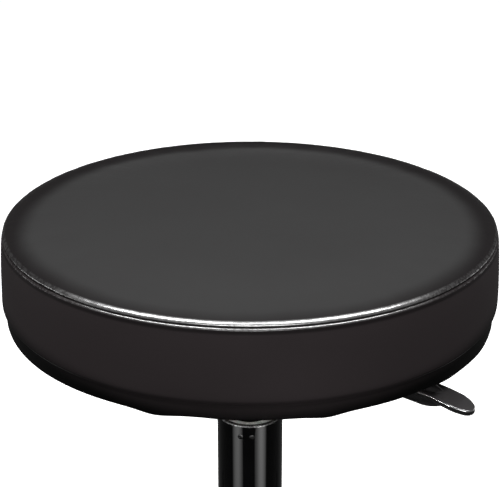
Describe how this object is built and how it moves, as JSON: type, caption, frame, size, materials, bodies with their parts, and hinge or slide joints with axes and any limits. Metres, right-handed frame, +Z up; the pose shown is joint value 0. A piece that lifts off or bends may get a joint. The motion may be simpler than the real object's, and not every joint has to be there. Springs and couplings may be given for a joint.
{
  "type": "creeper seat",
  "caption": "Round padded vinyl work seat on a gas lift column, with a height lever under the seat and a star base on swivel casters.",
  "frame": {"origin": "on the floor, under the axis of the column", "axes": "+Z up along the column's axis; +X to the right and +Y to the back of the seat as the picture shows it, with one leg along +Y and the height lever at the right front"},
  "size_m": [0.5154, 0.4914, 0.4358],
  "materials": {
    "cover_vinyl": "satin",
    "foam": "matte",
    "plywood": "matte",
    "zinc_steel": "satin",
    "black_paint": "satin",
    "black_enamel": "gloss",
    "tube_steel": "gloss",
    "bright_steel": "polished",
    "paddle_plastic": "satin",
    "sleeve_plastic": "satin",
    "seal_rubber": "matte",
    "brass": "satin",
    "cage_plastic": "matte",
    "wheel_plastic": "satin",
    "tyre": "matte"
  },
  "bodies": {
    "base": {"column_tube": "black_enamel", "guide_sleeve": "sleeve_plastic", "column_floor": "zinc_steel", "bearing_lower_washer": "bright_steel", "base_hub": "black_paint", "leg_1": "black_paint", "leg_2": "black_paint", "leg_3": "black_paint", "leg_4": "black_paint", "leg_5": "black_paint", "stem_sockets": "black_paint", "caster_stems": "zinc_steel"},
    "rod": {"piston_rod": "bright_steel", "piston": "brass", "piston_ring": "seal_rubber", "rod_clip": "zinc_steel", "bearing_upper_washer": "bright_steel", "bump_stop": "seal_rubber"},
    "ball_cage": {"bearing_cage": "cage_plastic", "bearing_balls": "bright_steel"},
    "seat": {"cover_top_panel": "cover_vinyl", "cover_side_band": "cover_vinyl", "foam_pad": "foam", "seat_board": "plywood", "tee_nuts": "zinc_steel", "plate_bolts": "zinc_steel", "plate_washers": "zinc_steel", "seat_plate": "black_paint", "lever_bracket": "black_paint", "taper_socket": "black_paint", "lever_pivot_pin": "zinc_steel", "cylinder_tube": "tube_steel", "valve_body": "brass", "rod_gland": "sleeve_plastic", "rod_seal": "seal_rubber"},
    "button": {"release_button": "bright_steel"},
    "lever": {"lever_rod": "black_paint", "lever_paddle": "paddle_plastic"},
    "caster_1": {"caster_fork_1": "zinc_steel", "caster_axle_1": "zinc_steel"},
    "wheel_1": {"caster_wheel_1": "wheel_plastic", "caster_tyre_1": "tyre"},
    "caster_2": {"caster_fork_2": "zinc_steel", "caster_axle_2": "zinc_steel"},
    "wheel_2": {"caster_wheel_2": "wheel_plastic", "caster_tyre_2": "tyre"},
    "caster_3": {"caster_fork_3": "zinc_steel", "caster_axle_3": "zinc_steel"},
    "wheel_3": {"caster_wheel_3": "wheel_plastic", "caster_tyre_3": "tyre"},
    "caster_4": {"caster_fork_4": "zinc_steel", "caster_axle_4": "zinc_steel"},
    "wheel_4": {"caster_wheel_4": "wheel_plastic", "caster_tyre_4": "tyre"},
    "caster_5": {"caster_fork_5": "zinc_steel", "caster_axle_5": "zinc_steel"},
    "wheel_5": {"caster_wheel_5": "wheel_plastic", "caster_tyre_5": "tyre"}
  },
  "joints": [
    {"name": "seat_swivel", "type": "hinge", "parent": "base", "child": "rod", "pos_m": [0, 0, 0.072], "axis": [0, 0, 1], "continuous": true},
    {"name": "seat_lift", "type": "slide", "parent": "rod", "child": "seat", "axis": [0, 0, 1], "range_m": [-0.015, 0.11]},
    {"name": "lever_rock", "type": "hinge", "parent": "seat", "child": "lever", "pos_m": [0.0243, -0.02082, 0.34058], "axis": [-0.6508, -0.7593, 0], "range_deg": [0, 4.5], "stiffness_Nm_per_rad": 12},
    {"name": "button_press", "type": "slide", "parent": "seat", "child": "button", "axis": [0, 0, 1], "range_m": [-0.00252, 0]},
    {"name": "cage_turn", "type": "hinge", "parent": "base", "child": "ball_cage", "pos_m": [0, 0, 0.076], "axis": [0, 0, 1], "continuous": true},
    {"name": "caster_swivel_1", "type": "hinge", "parent": "base", "child": "caster_1", "pos_m": [0, 0.215, 0.065], "axis": [0, 0, 1], "continuous": true},
    {"name": "wheel_spin_1", "type": "hinge", "parent": "caster_1", "child": "wheel_1", "pos_m": [0, 0.239, 0.03], "axis": [1, 0, 0], "continuous": true},
    {"name": "caster_swivel_2", "type": "hinge", "parent": "base", "child": "caster_2", "pos_m": [-0.20448, 0.06644, 0.065], "axis": [0, 0, 1], "continuous": true},
    {"name": "wheel_spin_2", "type": "hinge", "parent": "caster_2", "child": "wheel_2", "pos_m": [-0.2273, 0.07386, 0.03], "axis": [0.309, 0.9511, 0], "continuous": true},
    {"name": "caster_swivel_3", "type": "hinge", "parent": "base", "child": "caster_3", "pos_m": [-0.12637, -0.17394, 0.065], "axis": [0, 0, 1], "continuous": true},
    {"name": "wheel_spin_3", "type": "hinge", "parent": "caster_3", "child": "wheel_3", "pos_m": [-0.14048, -0.19335, 0.03], "axis": [-0.809, 0.5878, 0], "continuous": true},
    {"name": "caster_swivel_4", "type": "hinge", "parent": "base", "child": "caster_4", "pos_m": [0.12637, -0.17394, 0.065], "axis": [0, 0, 1], "continuous": true},
    {"name": "wheel_spin_4", "type": "hinge", "parent": "caster_4", "child": "wheel_4", "pos_m": [0.14048, -0.19335, 0.03], "axis": [-0.809, -0.5878, 0], "continuous": true},
    {"name": "caster_swivel_5", "type": "hinge", "parent": "base", "child": "caster_5", "pos_m": [0.20448, 0.06644, 0.065], "axis": [0, 0, 1], "continuous": true},
    {"name": "wheel_spin_5", "type": "hinge", "parent": "caster_5", "child": "wheel_5", "pos_m": [0.2273, 0.07386, 0.03], "axis": [0.309, -0.9511, 0], "continuous": true}
  ],
  "couplings": [
    {"joint": "cage_turn", "follows": "seat_swivel", "ratio": 0.5},
    {"joint": "button_press", "follows": "lever_rock", "m_per_rad": -0.032}
  ]
}
